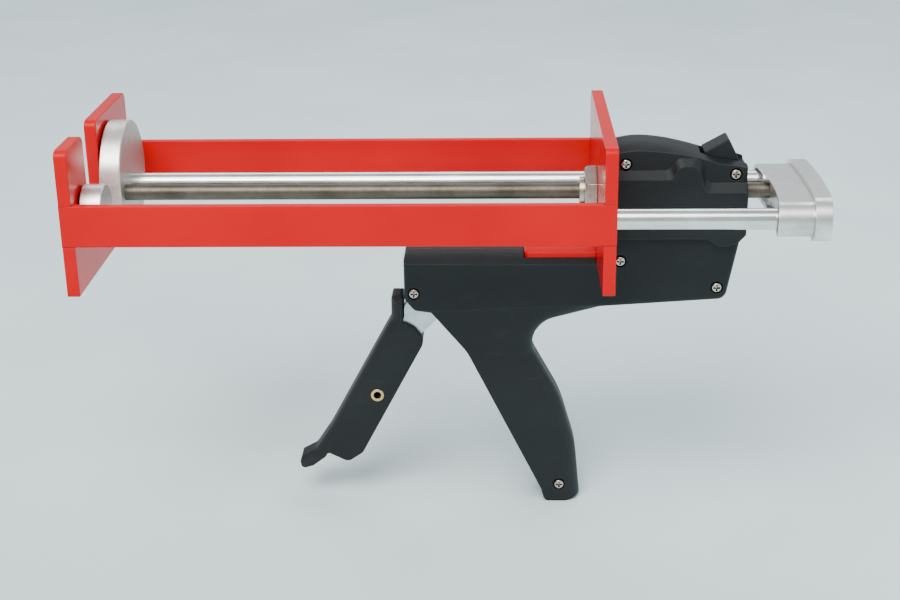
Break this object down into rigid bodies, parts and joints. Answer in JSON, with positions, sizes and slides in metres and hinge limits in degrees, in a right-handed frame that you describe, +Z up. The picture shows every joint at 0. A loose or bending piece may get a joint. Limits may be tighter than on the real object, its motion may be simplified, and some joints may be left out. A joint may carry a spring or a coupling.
{
  "type": "caulking gun",
  "caption": "Manual two-component cartridge gun: open steel carriage with push discs on rods, moulded pistol body, squeeze trigger and pull crossbar.",
  "frame": {"origin": "ground point under the middle of the gun, in line with the drive rod across the width, level with the handle's foot", "axes": "+X along the rods towards the pull crossbar, +Y towards the large cartridge side, +Z up, with the handle hanging down"},
  "size_m": [0.359, 0.12, 0.2042],
  "materials": {
    "red_paint": "glossy powder coat",
    "black_shell": "fine moulded texture",
    "black_grip": "satin moulded plastic",
    "bright_rod": "bright plated",
    "drive_steel": "drawn steel, lightly oiled",
    "turned_aluminium": "lathe turned",
    "cast_aluminium": "die cast and tumbled",
    "zinc_steel": "bright zinc plated",
    "screw_steel": "nickel plated",
    "brass_insert": "machined brass",
    "hardened_steel": "hardened, dark",
    "spring_steel": "spring wire"
  },
  "bodies": {
    "frame": {"front_plate": "red_paint", "rear_plate": "red_paint", "near_side_rail": "red_paint", "far_side_rail": "red_paint", "foot_bracket": "red_paint", "threaded_collar": "zinc_steel", "collar_nut": "zinc_steel", "near_body_shell": "black_shell", "far_body_shell": "black_shell", "body_screws": "screw_steel", "trigger_pivot_bush": "zinc_steel", "release_pin": "zinc_steel", "drive_spring": "spring_steel", "release_spring": "spring_steel"},
    "plunger": {"drive_rod": "drive_steel", "small_push_rod": "bright_rod", "large_push_rod": "bright_rod", "small_push_disc": "turned_aluminium", "large_push_disc": "turned_aluminium", "disc_screws": "screw_steel", "crossbar": "cast_aluminium", "crossbar_screws": "screw_steel"},
    "trigger": {"trigger_lever": "zinc_steel", "trigger_grip": "black_grip", "trigger_insert": "brass_insert", "link_pin": "zinc_steel"},
    "drive_link": {"pull_link": "zinc_steel", "drive_plate": "hardened_steel"},
    "release": {"release_plate": "hardened_steel", "release_tab": "black_grip"}
  },
  "joints": [
    {"name": "plunger_slide", "type": "slide", "parent": "frame", "child": "plunger", "axis": [1, 0, 0], "range_m": [0, 0.222]},
    {"name": "trigger_squeeze", "type": "hinge", "parent": "frame", "child": "trigger", "pos_m": [-0.0185, 0, 0.1167], "axis": [0, -1, 0], "range_deg": [0, 26], "stiffness_Nm_per_rad": 0.6, "springref_deg": -17.19},
    {"name": "drive_slide", "type": "slide", "parent": "frame", "child": "drive_link", "axis": [-1, 0, 0], "range_m": [0, 0.0038], "deforming": ["drive_spring"]},
    {"name": "release_rock", "type": "hinge", "parent": "frame", "child": "release", "pos_m": [0.1185, 0, 0.143], "axis": [0, -1, 0], "range_deg": [0, 2.5], "stiffness_Nm_per_rad": 0.8, "springref_deg": -5.73, "deforming": ["release_spring"]}
  ],
  "couplings": [
    {"joint": "drive_slide", "follows": "trigger_squeeze", "m_per_rad": 0.00827}
  ]
}
